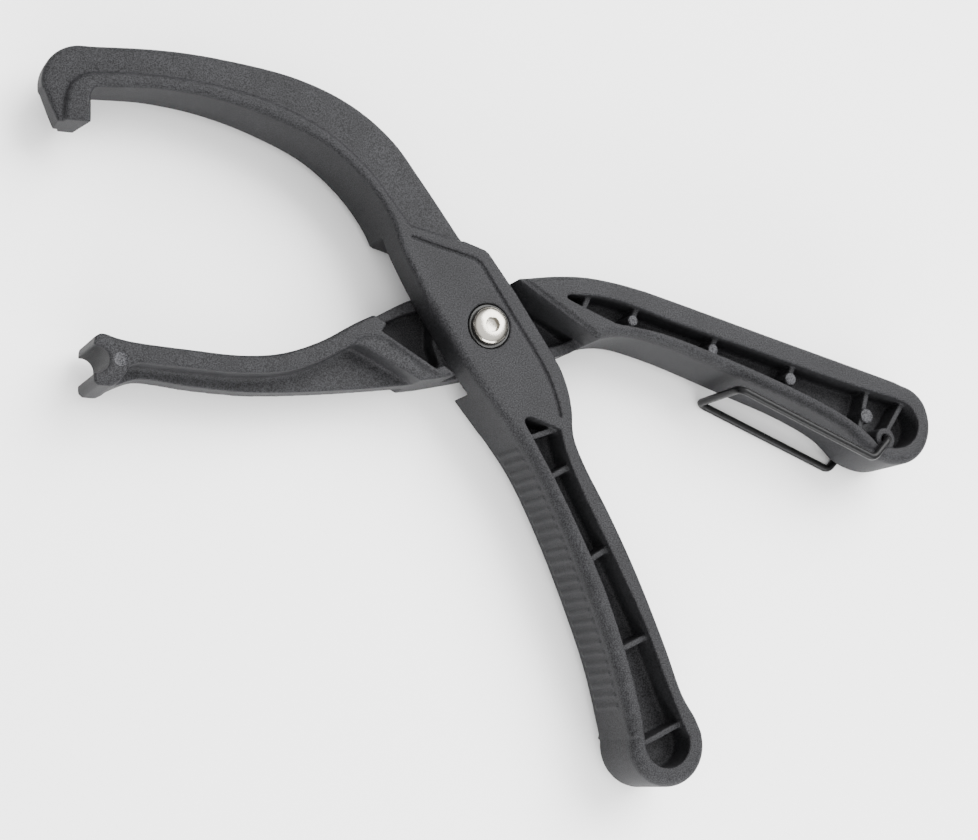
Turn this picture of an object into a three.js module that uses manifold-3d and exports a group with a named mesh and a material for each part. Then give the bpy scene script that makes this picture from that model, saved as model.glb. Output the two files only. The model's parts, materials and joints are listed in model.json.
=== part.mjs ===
// Tyre bead pliers: two moulded levers crossing at one bolt, with a wire bail that locks the handles.
// Millimetres, +Z up. The levers lie flat: +X runs from the jaws to the handles, +Z is the bolt's axis.
// Everything is drawn round the bolt at x = 0, y = 0, with z = 0 in the middle of the levers' thickness,
// and the whole tool is then lifted so that its lowest point is z = 0 under the middle of its box.

import * as THREE from 'three';
import { mergeVertices } from 'three/addons/utils/BufferGeometryUtils.js';
import Module from 'manifold-3d';

const wasm = await Module();
wasm.setup();

// ---------- driving dimensions ----------

// levers
const HALF = 14;                 // half the thickness of both levers, at the bolt and along the handles
const HOOK_TIP_HALF = 6.8;       // half the thickness of the hook's foot
const FORK_TIP_HALF = 12.3;      // half the thickness of the forked jaw
const LAP_GAP = 0.3;             // free space between the two halves of the lap joint
const LAP_REACH = 22.7;          // from the bolt's axis to each shoulder of a lap recess
const HOOK_LAP_ANGLE = -16;      // direction in degrees of the recess at the back of the hook lever
const FORK_LAP_ANGLE = -33.2;    // direction in degrees of the recess at the front of the fork lever
const WEB_HALF = 2;              // half the thickness of the web inside both handles
const ARM_WEB_HALF = 4.2;        // half the thickness of the web in the fork arm
const LAP_POCKET_DEPTH = 6;      // depth of the hollows in the fork lever's lap face
const PLATE_GROOVE = { width: 1.1, depth: 0.9 };

// ribs and bosses inside the handles
const RIB_WIDTH = 1.8;
const RIB_DROP = 3;              // from the rim down to the top of a cross rib
const PAD_DROP = 2;              // from the rim down to the top of a round pad
const HOOK_GRIP = { ribs: 26, first: 0.085, last: 0.905, radius: 1.35, standOut: 0.55, halfLength: 8.6 };
const FORK_GRIP = { ribs: 28, first: 0.02, last: 0.98, radius: 1.35, standOut: 0.3, halfLength: 8.6 };

// bolt, washer, sleeve and nut
const CLEAR = 0.3;               // gap between pieces that touch
const BOLT = { diameter: 8, chamfer: 0.8, endInset: 0.5, socket: 5, socketDepth: 2.2 };
const BOLT_HEAD = { diameter: 14, height: 2.8, rim: 0.5, flatRadius: 3.2 };
const WASHER = { outer: 16, inner: 8.6, thickness: 1.6, chamfer: 0.25 };
const SLEEVE = { outer: 12, inner: 8.6 };
const NUT = { acrossFlats: 13, height: 8 };
const NUT_INSERT = { outer: 10.6, inner: 8.5, height: 2.2, inset: 0.6 };

// bail
const WIRE = 3;
const BAIL_PIVOT = [169.7, -35.1];
const BAIL_KNEE = [161.2, -43.4];
const BAIL_END = [102.7, -18.7];
const BAIL_BEND = 3.2;           // radius of the bends in the wire
const BAIL_BOSS = { outer: 8.8, hole: 3.6, drop: 1.2, wireDepth: 9 };

const BLACK_NYLON = { color: 0x44454a, roughness: 0.62, metalness: 0 };
const BRIGHT_STEEL = { color: 0xc8c6c0, roughness: 0.28, metalness: 1 };
const PLAIN_STEEL = { color: 0x9fa1a3, roughness: 0.45, metalness: 1 };
const DARK_STEEL = { color: 0x2a2a2c, roughness: 0.4, metalness: 0.8 };
const BLACK_WIRE = { color: 0x1f1f21, roughness: 0.25, metalness: 0.7 };
const NYLON_RING = { color: 0x2f4f8f, roughness: 0.5, metalness: 0 };

// ---------- solids ----------

function toSolid(geometry) {
  const plain = geometry.clone();
  plain.deleteAttribute('normal');
  plain.deleteAttribute('uv');
  const merged = mergeVertices(plain, 1e-4);
  return new wasm.Manifold(new wasm.Mesh({
    numProp: 3,
    vertProperties: new Float32Array(merged.attributes.position.array),
    triVerts: new Uint32Array(merged.index.array),
  }));
}

function toGeometry(solid) {
  const mesh = solid.getMesh();
  const geometry = new THREE.BufferGeometry();
  const positions = [];
  for (let i = 0; i < mesh.vertProperties.length; i += mesh.numProp) {
    positions.push(mesh.vertProperties[i], mesh.vertProperties[i + 1], mesh.vertProperties[i + 2]);
  }
  geometry.setAttribute('position', new THREE.Float32BufferAttribute(positions, 3));
  geometry.setIndex(Array.from(mesh.triVerts));
  geometry.computeVertexNormals();
  return geometry;
}

// A straight-sided block: the outline between two heights.
function prism(points, bottom, top) {
  const shape = new THREE.Shape(points.map(([x, y]) => new THREE.Vector2(x, y)));
  const geometry = new THREE.ExtrudeGeometry(shape, { depth: top - bottom, bevelEnabled: false });
  geometry.translate(0, 0, bottom);
  return toSolid(geometry);
}

// The same block at the front and, mirrored, at the back.
function prismOnBothFaces(points, from, to) {
  return prism(points, from, to).add(prism(points, -to, -from));
}

function cylinder(radius, bottom, top, [x, y] = [0, 0], sides = 32) {
  const geometry = new THREE.CylinderGeometry(radius, radius, top - bottom, sides);
  geometry.rotateX(Math.PI / 2);
  geometry.translate(x, y, (top + bottom) / 2);
  return toSolid(geometry);
}

function lathe(profile, sides = 40) {
  const points = profile.map(([r, z]) => new THREE.Vector2(r, z));
  const geometry = new THREE.LatheGeometry([...points, points[0]], sides);
  geometry.rotateX(Math.PI / 2);
  return geometry;
}

// ---------- outlines ----------

function smoothCurve(points) {
  return new THREE.CatmullRomCurve3(points.map(([x, y]) => new THREE.Vector3(x, y, 0)), false, 'centripetal');
}

function curveThrough(points, spacing) {
  const curve = smoothCurve(points);
  const steps = Math.max(points.length - 1, Math.round(curve.getLength() / spacing));
  return curve.getSpacedPoints(steps).map((p) => [p.x, p.y]);
}

function arc([cx, cy], radius, fromDegrees, toDegrees, steps) {
  const points = [];
  for (let i = 0; i <= steps; i += 1) {
    const angle = THREE.MathUtils.degToRad(fromDegrees + ((toDegrees - fromDegrees) * i) / steps);
    points.push([cx + radius * Math.cos(angle), cy + radius * Math.sin(angle)]);
  }
  return points;
}

// A strip of one width along a line of points.
function ribbon(points, width) {
  const left = [];
  const right = [];
  points.forEach(([x, y], i) => {
    const [ax, ay] = points[Math.max(i - 1, 0)];
    const [bx, by] = points[Math.min(i + 1, points.length - 1)];
    const length = Math.hypot(bx - ax, by - ay);
    const nx = (-(by - ay) / length) * (width / 2);
    const ny = ((bx - ax) / length) * (width / 2);
    left.push([x + nx, y + ny]);
    right.unshift([x - nx, y - ny]);
  });
  return [...left, ...right];
}

// Round grip ribs side by side along an edge, each lying across the thickness of the handle.
function gripRibs(edge, { ribs, first, last, radius, standOut, halfLength }) {
  const curve = smoothCurve(edge);
  const depth = radius - standOut;
  const sides = 10;
  let solid = null;
  for (let i = 0; i < ribs; i += 1) {
    const along = first + ((last - first) * i) / (ribs - 1);
    const point = curve.getPointAt(along);
    const tangent = curve.getTangentAt(along);
    const centre = [point.x - tangent.y * depth, point.y + tangent.x * depth];
    const rib = cylinder(radius, -halfLength, halfLength, centre, sides);
    solid = solid ? solid.add(rib) : rib;
  }
  return solid;
}

// A long strip across the bolt's axis, as wide as a lap recess.
function lapBand(directionDegrees, reach, bottom, top) {
  const length = 150;
  const geometry = new THREE.BoxGeometry(length, 2 * reach, top - bottom);
  geometry.rotateZ(THREE.MathUtils.degToRad(directionDegrees));
  geometry.translate(0, 0, (top + bottom) / 2);
  return toSolid(geometry);
}

// ---------- moulded body ----------
// A flat moulding, the same at front and back, with a rounded edge whose radius changes round the outline.
// Each run of the outline (counter-clockwise) is { edge, points }.

const EDGE_STEPS = 3;

function joinRuns(runs) {
  const outline = [];
  for (const { edge, points } of runs) {
    for (const [x, y] of points) {
      const last = outline[outline.length - 1];
      if (!last || Math.hypot(last.x - x, last.y - y) > 0.2) {
        outline.push({ x, y, edge });
      }
    }
  }
  const [first, last] = [outline[0], outline[outline.length - 1]];
  if (Math.hypot(first.x - last.x, first.y - last.y) < 0.2) {
    outline.pop();
  }
  return outline;
}

function insetDirections(outline) {
  const longestMiter = 1.5;
  return outline.map((point, i) => {
    const before = outline[(i + outline.length - 1) % outline.length];
    const after = outline[(i + 1) % outline.length];
    const inwardOf = (a, b) => {
      const length = Math.hypot(b.x - a.x, b.y - a.y);
      return new THREE.Vector2(-(b.y - a.y) / length, (b.x - a.x) / length);
    };
    const first = inwardOf(before, point);
    const second = inwardOf(point, after);
    return first.clone().add(second).divideScalar(1 + first.dot(second)).clampLength(0, longestMiter);
  });
}

function mouldedBody(runs, halfThickness) {
  const outline = joinRuns(runs);
  const inward = insetDirections(outline);
  const rings = [];
  for (let step = EDGE_STEPS; step >= 0; step -= 1) {
    rings.push({ side: -1, angle: ((Math.PI / 2) * step) / EDGE_STEPS });
  }
  for (let step = 0; step <= EDGE_STEPS; step += 1) {
    rings.push({ side: 1, angle: ((Math.PI / 2) * step) / EDGE_STEPS });
  }
  const positions = [];
  for (const { side, angle } of rings) {
    outline.forEach(({ x, y, edge }, i) => {
      const inset = edge * (1 - Math.cos(angle));
      const height = halfThickness(x, y) - edge * (1 - Math.sin(angle));
      positions.push(x + inward[i].x * inset, y + inward[i].y * inset, side * height);
    });
  }
  const count = outline.length;
  const index = [];
  for (let ring = 0; ring < rings.length - 1; ring += 1) {
    for (let i = 0; i < count; i += 1) {
      const next = (i + 1) % count;
      const [a, b] = [ring * count + i, ring * count + next];
      const [c, d] = [(ring + 1) * count + next, (ring + 1) * count + i];
      index.push(a, b, c, a, c, d);
    }
  }
  const lastRing = (rings.length - 1) * count;
  const capContour = outline.map((_, i) => new THREE.Vector2(positions[3 * i], positions[3 * i + 1]));
  for (const [a, b, c] of THREE.ShapeUtils.triangulateShape(capContour, [])) {
    index.push(c, b, a);
    index.push(lastRing + a, lastRing + b, lastRing + c);
  }
  const geometry = new THREE.BufferGeometry();
  geometry.setAttribute('position', new THREE.Float32BufferAttribute(positions, 3));
  geometry.setIndex(index);
  return toSolid(geometry);
}

// ---------- hook lever ----------

const FOOT_BOTTOM = 63.8;
const FOOT_INNER = -141.9;

// The hook arm thins from the bolt to the foot.
function hookHalf(x) {
  const along = THREE.MathUtils.clamp((-40 - x) / 118, 0, 1);
  return HALF - (HALF - HOOK_TIP_HALF) * along ** 1.35;
}

const FOOT_FILLET = arc([FOOT_INNER + 3.6, 72.8], 3.6, 180, 90, 4);
const ARM_INNER = curveThrough([
  [-138.3, 76.4], [-119, 77.4], [-99, 75.5], [-79.2, 70.4], [-59.4, 61.9],
  [-44.6, 49.3], [-36.3, 37], [-32.9, 27.3], [-24.2, 9.8],
], 7);
const PLATE_LEFT = curveThrough([[-24.2, 9.8], [-15, -5], [-6.8, -18.3], [-1.2, -25.6], [6.4, -35.5]], 7);
const GRIP_SIDE = curveThrough([
  [6.4, -35.5], [17, -51.2], [27.4, -73], [37.8, -100.1], [45.1, -123], [50.1, -147],
], 7);
const HOOK_HANDLE_END = arc([65.2, -150], 15.1, 170, 375, 20);
const BULGE_SIDE = curveThrough([
  [77.6, -141.2], [72.5, -132.7], [66.5, -115.6], [56.4, -89.6], [46.3, -67.6],
  [36.2, -48.1], [33.1, -39.8], [32.4, -34],
], 8);
const PLATE_RIGHT = curveThrough([[32.4, -34], [31.6, -25], [28.8, -15.4], [24, -6.9]], 6)
  .concat([[11.3, 13.1], [1.3, 27.1], [-0.3, 28.3], [-8.5, 31]]);
const ARM_OUTER = curveThrough([
  [-8.5, 31], [-24, 53.1], [-34.2, 66.3], [-49.4, 78], [-69.3, 86.1], [-98.8, 90.9], [-118.4, 92],
  [-143, 91.4],
], 8);
const HOOK_CROWN = arc([-144.3, 77.8], 13.6, 84, 188, 9);

// The raised band: the hook's inner edge, which widens into the plate round the bolt.
const BAND_STEP = curveThrough([
  [-29.5, 35.2], [-35, 42.8], [-45, 55], [-59.7, 67.1], [-79.4, 75.9], [-96, 79.9], [-115, 81.8],
  [-133.4, 82],
], 8);
const BAND_CORNER = curveThrough([
  [-133.4, 82], [-143.4, 80.8], [-148.4, 77], [-150.3, 70.5], [-150.6, FOOT_BOTTOM],
], 3.5);

const PLATE_GROOVE_LINE = [
  [-29, 31], [-20, 28.5], [-10, 26], [-4.6, 24.5], [-2.2, 22.8],
  [5, 11.5], [12.5, -0.2], [20, -12], [23.4, -19], [25.8, -26], [27.2, -32.2],
];

const HOOK_POCKET = [
  ...curveThrough([[15.2, -32.3], [12.7, -33.4], [16, -40.4], [25, -57], [35, -78], [42, -94.5], [50, -120],
    [54.2, -139], [55.3, -148]], 9),
  ...arc([64.5, -149.2], 9.2, 172, 372, 12),
  ...curveThrough([[71, -142.2], [65, -127], [58, -108], [45, -80], [33, -55.5], [28.4, -43.5],
    [26.8, -36.4]], 9),
];

const HOOK_CROSS_RIBS = [
  [[13, -40.6], [29, -35]], [[21, -55], [33, -48.6]], [[33, -86.5], [49, -77]],
  [[45, -117.5], [61, -110.5]], [[52, -151.3], [75, -141.3]],
];

// The outer part of the arm lies lower than the band, and lowest at the foot.
function armOuterHalf(x) {
  const armStep = 1.1;
  const footStep = 2.0;
  const towardsFoot = THREE.MathUtils.smoothstep(-x, 110, 148);
  return hookHalf(x) - armStep - (footStep - armStep) * towardsFoot;
}

// The inner side of the arm's outer part is buried in the band and in the plate.
const ARM_BURIED_SIDE = [
  [-145, FOOT_BOTTOM], [-145, 74], [-139, 79.3], [-119, 80], [-97, 77.8], [-77, 72.6], [-57, 63.6],
  [-42, 50.5], [-33, 37], [-28, 26], [-12, 22], [-6, 24],
];
const FOOT_OUTER = [[-157.2, 75.2], [-154.8, 69]];

// The foot narrows towards the back: a flat cut takes the corner off its inner side.
const FOOT_TAPER = 3;

function footTaper() {
  const height = 2 * HOOK_TIP_HALF;
  const reach = 9;
  const corners = [];
  for (const [up, z] of [[-1, 8], [-1, -8], [10.2, -8]]) {
    const x = FOOT_INNER + FOOT_TAPER * (up / reach + (z - HOOK_TIP_HALF) / height);
    corners.push([x, FOOT_BOTTOM + up, z], [FOOT_INNER + 8, FOOT_BOTTOM + up, z]);
  }
  return wasm.Manifold.hull(corners);
}

function hookLever() {
  const arm = mouldedBody([
    { edge: 0.8, points: ARM_BURIED_SIDE },
    { edge: 2.2, points: ARM_OUTER },
    { edge: 1.8, points: HOOK_CROWN },
    { edge: 1.6, points: FOOT_OUTER },
    { edge: 0.8, points: [[-152.5, FOOT_BOTTOM]] },
  ], armOuterHalf);
  const main = mouldedBody([
    { edge: 0.8, points: [[FOOT_INNER, FOOT_BOTTOM]] },
    { edge: 1.4, points: FOOT_FILLET },
    { edge: 1.8, points: ARM_INNER },
    { edge: 2.6, points: PLATE_LEFT },
    { edge: 3.6, points: GRIP_SIDE },
    { edge: 3.4, points: HOOK_HANDLE_END },
    { edge: 2.4, points: BULGE_SIDE },
    { edge: 1.1, points: PLATE_RIGHT },
    { edge: 0.8, points: [[-10, 30.6]] },
    { edge: 1.2, points: BAND_STEP },
    { edge: 1.8, points: BAND_CORNER },
  ], hookHalf);
  const topOfRib = HALF - RIB_DROP;
  const pockets = prismOnBothFaces(HOOK_POCKET, WEB_HALF, HALF + 1);
  let lever = arm.add(main).subtract(pockets);
  for (const rib of HOOK_CROSS_RIBS) {
    lever = lever.add(prism(ribbon(rib, RIB_WIDTH), -topOfRib, topOfRib));
  }
  const grooveDepth = PLATE_GROOVE.depth;
  return lever
    .add(gripRibs(GRIP_SIDE, HOOK_GRIP))
    .subtract(footTaper())
    .subtract(lapBand(HOOK_LAP_ANGLE, LAP_REACH, -HALF - 1, LAP_GAP / 2))
    .subtract(prism(ribbon(PLATE_GROOVE_LINE, PLATE_GROOVE.width), HALF - grooveDepth, HALF + 1))
    .subtract(cylinder(SLEEVE.outer / 2 + CLEAR, -1, HALF + 1))
    .subtract(cylinder(WASHER.outer / 2 + CLEAR, HALF - WASHER.thickness - CLEAR, HALF + 1));
}

// ---------- fork lever ----------

// The fork arm thins a little towards the jaw.
function forkHalf(x) {
  const along = THREE.MathUtils.clamp((-50 - x) / 93, 0, 1);
  return HALF - (HALF - FORK_TIP_HALF) * along;
}

const JAW_END = -142.3;
const JAW_NOTCH = arc([-141.7, -18.7], 4.7, 97.5, -97.5, 12);
const JAW_LOWER = [[JAW_END, -24], [JAW_END, -26.1], [-140.9, -27.4], [-136.6, -27.6]];
const FORK_ARM_LOWER = curveThrough([
  [-136.6, -27.6], [-131.5, -25.2], [-125.9, -23.4], [-105.8, -25.2], [-86.8, -26.1], [-63, -24.8],
  [-33, -21.6], [-19.5, -19.7],
], 9);
const FORK_PLATE_LOWER = curveThrough([[-19.5, -19.7], [-1.1, -15.8], [25, -9.2], [38.8, -5.2]], 9);
const FORK_HANDLE_LOWER = curveThrough([
  [38.8, -5.2], [47, -1.5], [58.1, -0.4], [75, -3.9], [110.7, -15.9], [136.7, -25.2], [152.4, -33.1],
], 8);
const FORK_HANDLE_END = curveThrough([
  [152.4, -33.1], [161.7, -41.2], [173, -44.9], [181.8, -43.7], [187.5, -39.6], [190.9, -33.5],
  [191.6, -26.5], [189.4, -19.6], [184.6, -15], [178, -12.6],
], 4.5);
const FORK_GRIP_SIDE = [[178, -12.6], [146, -4], [113, 4.8], [80.8, 13.5], [66, 17.4]];
const FORK_NECK_UPPER = curveThrough([[66, 17.4], [53, 19.9], [40.2, 21.2], [28, 20.7], [14.5, 18.9]], 8);
const FORK_PLATE_UPPER = curveThrough([[14.5, 18.9], [0, 17.6], [-12, 14.8], [-25.2, 10.9], [-38, 4.4]], 9);
const FORK_ARM_UPPER = curveThrough([
  [-38, 4.4], [-50.2, -1.3], [-64.1, -8.9], [-77.7, -13.6], [-91.5, -15], [-110.1, -13.9], [-129.8, -12.1],
  [-135.4, -10.9], [-138, -10], [-139.8, -9.8],
], 9);

// The recess under the arm's top flange, open along the bottom edge.
const ARM_RECESS = [
  ...curveThrough([[-28.5, -21.3], [-46.3, -8.2], [-51, -8.2]], 6),
  ...curveThrough([[-51, -8.2], [-63, -15.2], [-75, -19.6], [-91, -21.3], [-110, -20.4], [-126.5, -19.3]], 9),
  ...curveThrough([[-126.5, -19.3], [-130, -20.3], [-131.7, -23], [-134.5, -26.6]], 3),
  [-138, -32], [-24, -32],
];

const FORK_POCKET = [
  ...curveThrough([[34, 11.4], [31.6, 12.9], [34, 14.1]], 2.5),
  ...curveThrough([[34, 14.1], [50, 13.4], [80, 5.2], [110, -2.6], [150, -13.3], [175, -19]], 12),
  ...curveThrough([[175, -19], [181.5, -21.7], [184.9, -28], [183.6, -33.7], [178.9, -37.7], [172.2, -38.9],
    [166, -38.4]], 4),
  ...curveThrough([[166, -38.4], [160.4, -33.3], [149.5, -26.4], [125.1, -16], [94, -5.2], [70, 1.6],
    [52, 4]], 9),
];

// The cross ribs lie square to the handle, and four of them carry a round pad.
const FORK_CROSS_RIBS = [
  { foot: [37.5, 4.5], head: [43, 15.5] },
  { foot: [57.6, 1], head: [64, 14], pad: [60, 6], padRadius: 1.9 },
  { foot: [91.6, -7], head: [98, 5], pad: [94, -3.2], padRadius: 2 },
  { foot: [125.2, -19], head: [131.2, -5], pad: [128, -13], padRadius: 2.3 },
  { foot: [158.2, -34], head: [164.6, -14], pad: [162.2, -26.2], padRadius: 2.7 },
  { foot: BAIL_PIVOT, head: [180.5, -20] },
];

const LAP_POCKETS = [
  [[-41.5, -4], [-37.5, 0.6], [-27.5, 5.6], [-18, 9.2], [-16.2, 2], [-16.4, -5], [-14, -12.2], [-19, -15.5],
    [-21, -16.6]],
  [[17.5, 15.6], [11.5, 14.4], [15.4, 7], [16.8, 0], [15.6, -7.4], [24.5, -5.2], [36.5, -1.6], [41, 0.4]],
];

function forkLever() {
  const topOfRib = HALF - RIB_DROP;
  const topOfPad = HALF - PAD_DROP;
  const topOfBoss = HALF - BAIL_BOSS.drop;
  const lapFace = -LAP_GAP / 2;
  const body = mouldedBody([
    { edge: 0.7, points: JAW_NOTCH },
    { edge: 0.7, points: JAW_LOWER },
    { edge: 1.2, points: FORK_ARM_LOWER },
    { edge: 1.2, points: FORK_PLATE_LOWER },
    { edge: 3.6, points: FORK_HANDLE_LOWER },
    { edge: 3.4, points: FORK_HANDLE_END },
    { edge: 2.6, points: FORK_GRIP_SIDE },
    { edge: 2.6, points: FORK_NECK_UPPER },
    { edge: 1.2, points: FORK_PLATE_UPPER },
    { edge: 1.4, points: FORK_ARM_UPPER },
    { edge: 0.7, points: [[-141.9, -11], [JAW_END, -14]] },
  ], forkHalf);
  let lever = body
    .subtract(prismOnBothFaces(FORK_POCKET, WEB_HALF, HALF + 1))
    .subtract(prismOnBothFaces(ARM_RECESS, ARM_WEB_HALF, HALF + 1));
  for (const { foot, head, pad, padRadius } of FORK_CROSS_RIBS) {
    lever = lever.add(prism(ribbon([foot, head], RIB_WIDTH), -topOfRib, topOfRib));
    if (pad) {
      lever = lever.add(cylinder(padRadius, -topOfPad, topOfPad, pad, 20));
    }
  }
  lever = lever
    .add(gripRibs(FORK_GRIP_SIDE, FORK_GRIP))
    .add(cylinder(BAIL_BOSS.outer / 2, -topOfBoss, topOfBoss, BAIL_PIVOT, 28))
    .subtract(cylinder(BAIL_BOSS.hole / 2, -HALF - 1, HALF + 1, BAIL_PIVOT, 20))
    .subtract(lapBand(FORK_LAP_ANGLE, LAP_REACH, lapFace, HALF + 1));
  for (const pocket of LAP_POCKETS) {
    lever = lever.subtract(prism(pocket, lapFace - LAP_POCKET_DEPTH, HALF));
  }
  const nutPocketRadius = hexRadius(NUT.acrossFlats + 2 * CLEAR);
  const nutPocketTop = -HALF + NUT.height + CLEAR;
  return lever
    .subtract(cylinder(SLEEVE.outer / 2 + CLEAR, nutPocketTop - 2 * CLEAR, 1))
    .subtract(cylinder(nutPocketRadius, -HALF - 1, nutPocketTop, [0, 0], 6));
}

// ---------- bolt, washer, sleeve and nut ----------

function hexRadius(acrossFlats) {
  return acrossFlats / Math.sqrt(3);
}

const HEAD_SEAT = HALF + CLEAR;
const NUT_TOP = -HALF + NUT.height;

// The head's crown is a quarter of an ellipse from the rim to the flat round the socket.
function headCrown() {
  const steps = 7;
  const { diameter, height, rim, flatRadius } = BOLT_HEAD;
  const crown = [];
  for (let i = 0; i <= steps; i += 1) {
    const angle = (Math.PI / 2) * (i / steps);
    crown.push([
      flatRadius + (diameter / 2 - flatRadius) * Math.cos(angle),
      HEAD_SEAT + rim + (height - rim) * Math.sin(angle),
    ]);
  }
  return crown;
}

function pivotBolt() {
  const radius = BOLT.diameter / 2;
  const bottom = -HALF + BOLT.endInset;
  const top = HEAD_SEAT + BOLT_HEAD.height;
  const profile = [
    [0, bottom], [radius - BOLT.chamfer, bottom], [radius, bottom + BOLT.chamfer], [radius, HEAD_SEAT],
    [BOLT_HEAD.diameter / 2, HEAD_SEAT], ...headCrown(), [0, top],
  ];
  return toSolid(lathe(profile))
    .subtract(cylinder(hexRadius(BOLT.socket), top - BOLT.socketDepth, top + 1, [0, 0], 6));
}

function headWasher() {
  const top = HALF;
  const bottom = top - WASHER.thickness;
  const [inner, outer] = [WASHER.inner / 2, WASHER.outer / 2];
  const { chamfer } = WASHER;
  return lathe([
    [inner, bottom], [outer, bottom], [outer, top - chamfer], [outer - chamfer, top], [inner, top],
  ]);
}

function pivotSleeve() {
  const bottom = NUT_TOP + CLEAR;
  const top = HALF - WASHER.thickness - CLEAR;
  return lathe([
    [SLEEVE.inner / 2, bottom], [SLEEVE.outer / 2, bottom], [SLEEVE.outer / 2, top], [SLEEVE.inner / 2, top],
  ]);
}

const INSERT_BOTTOM = -HALF + NUT_INSERT.inset;
const INSERT_TOP = INSERT_BOTTOM + NUT_INSERT.height;

function lockNut() {
  const hexagon = cylinder(hexRadius(NUT.acrossFlats), -HALF, NUT_TOP, [0, 0], 6);
  return hexagon
    .subtract(cylinder(BOLT.diameter / 2 + CLEAR, -HALF - 1, NUT_TOP + 1))
    .subtract(cylinder(NUT_INSERT.outer / 2 + CLEAR, -HALF - 1, INSERT_TOP + CLEAR));
}

function lockNutInsert() {
  const [inner, outer] = [NUT_INSERT.inner / 2, NUT_INSERT.outer / 2];
  const sides = 32;
  return lathe([
    [inner, INSERT_BOTTOM], [outer, INSERT_BOTTOM], [outer, INSERT_TOP], [inner, INSERT_TOP],
  ], sides);
}

// ---------- bail ----------
// The wire runs from the boss along the front of the handle, across its thickness and back behind it.

function roundedRoute(corners, radius) {
  const path = new THREE.CurvePath();
  const points = corners.map((p) => new THREE.Vector3(...p));
  let start = points[0];
  for (let i = 1; i < points.length - 1; i += 1) {
    const into = points[i].clone().sub(points[i - 1]).normalize();
    const out = points[i + 1].clone().sub(points[i]).normalize();
    const bendStart = points[i].clone().addScaledVector(into, -radius);
    const bendEnd = points[i].clone().addScaledVector(out, radius);
    path.add(new THREE.LineCurve3(start, bendStart));
    path.add(new THREE.QuadraticBezierCurve3(bendStart, points[i], bendEnd));
    start = bendEnd;
  }
  path.add(new THREE.LineCurve3(start, points[points.length - 1]));
  return path;
}

// The ends of the straights and a few points round every bend.
function routePoints(corners, radius) {
  const bendSteps = 4;
  const points = [];
  for (const piece of roundedRoute(corners, radius).curves) {
    const steps = piece.isLineCurve3 ? 1 : bendSteps;
    for (const point of piece.getPoints(steps)) {
      const last = points[points.length - 1];
      if (!last || last.distanceTo(point) > 1e-3) {
        points.push(point);
      }
    }
  }
  return points;
}

function wireAlong(points, diameter, sides) {
  const positions = [];
  const index = [];
  let across = null;
  points.forEach((point, i) => {
    const before = points[Math.max(i - 1, 0)];
    const after = points[Math.min(i + 1, points.length - 1)];
    const tangent = after.clone().sub(before).normalize();
    const seed = across || new THREE.Vector3(1, 0.3, 0);
    across = seed.clone().addScaledVector(tangent, -seed.dot(tangent)).normalize();
    const up = new THREE.Vector3().crossVectors(tangent, across);
    for (let k = 0; k < sides; k += 1) {
      const angle = (2 * Math.PI * k) / sides;
      const spot = point.clone()
        .addScaledVector(across, (Math.cos(angle) * diameter) / 2)
        .addScaledVector(up, (Math.sin(angle) * diameter) / 2);
      positions.push(spot.x, spot.y, spot.z);
    }
  });
  for (let ring = 0; ring < points.length - 1; ring += 1) {
    for (let k = 0; k < sides; k += 1) {
      const next = (k + 1) % sides;
      const [a, b] = [ring * sides + k, ring * sides + next];
      const [c, d] = [(ring + 1) * sides + next, (ring + 1) * sides + k];
      index.push(a, b, c, a, c, d);
    }
  }
  const last = (points.length - 1) * sides;
  for (let k = 1; k < sides - 1; k += 1) {
    index.push(0, k + 1, k);
    index.push(last, last + k, last + k + 1);
  }
  const geometry = new THREE.BufferGeometry();
  geometry.setAttribute('position', new THREE.Float32BufferAttribute(positions, 3));
  geometry.setIndex(index);
  return geometry;
}

function wireBail() {
  const legHeight = HALF + CLEAR + WIRE / 2;
  const tipHeight = HALF - BAIL_BOSS.wireDepth;
  const corners = [
    [...BAIL_PIVOT, tipHeight], [...BAIL_PIVOT, legHeight],
    [...BAIL_KNEE, legHeight], [...BAIL_END, legHeight],
    [...BAIL_END, -legHeight], [...BAIL_KNEE, -legHeight],
    [...BAIL_PIVOT, -legHeight], [...BAIL_PIVOT, -tipHeight],
  ];
  const sides = 10;
  return toSolid(wireAlong(routePoints(corners, BAIL_BEND), WIRE, sides));
}

// ---------- assembly ----------

const tool = new THREE.Group();

function addPiece(name, shape, look) {
  const geometry = shape.isBufferGeometry ? shape : toGeometry(shape);
  const mesh = new THREE.Mesh(geometry, new THREE.MeshStandardMaterial(look));
  mesh.name = name;
  tool.add(mesh);
}

addPiece('hook_lever', hookLever(), BLACK_NYLON);
addPiece('fork_lever', forkLever(), BLACK_NYLON);
addPiece('pivot_bolt', pivotBolt(), BRIGHT_STEEL);
addPiece('head_washer', headWasher(), DARK_STEEL);
addPiece('pivot_sleeve', pivotSleeve(), PLAIN_STEEL);
addPiece('lock_nut', lockNut(), PLAIN_STEEL);
addPiece('lock_nut_insert', lockNutInsert(), NYLON_RING);
addPiece('wire_bail', wireBail(), BLACK_WIRE);

const box = new THREE.Box3().setFromObject(tool);
const middle = box.getCenter(new THREE.Vector3());
tool.position.set(-middle.x, -middle.y, -box.min.z);

const part = new THREE.Group();
part.add(tool);

export default part;
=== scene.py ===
"""Looks for a pair of tyre bead pliers: two glass-filled nylon levers on one bolt, with a wire bail.

Shapes are drawn in millimetres round the pivot bolt, with z = 0 in the middle of the levers' thickness,
and are moved into the frame, in metres, once they are whole.
"""

import json
import math

import bmesh
import bpy
import numpy as np
from mathutils import Matrix, Vector
from mathutils.geometry import delaunay_2d_cdt


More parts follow.
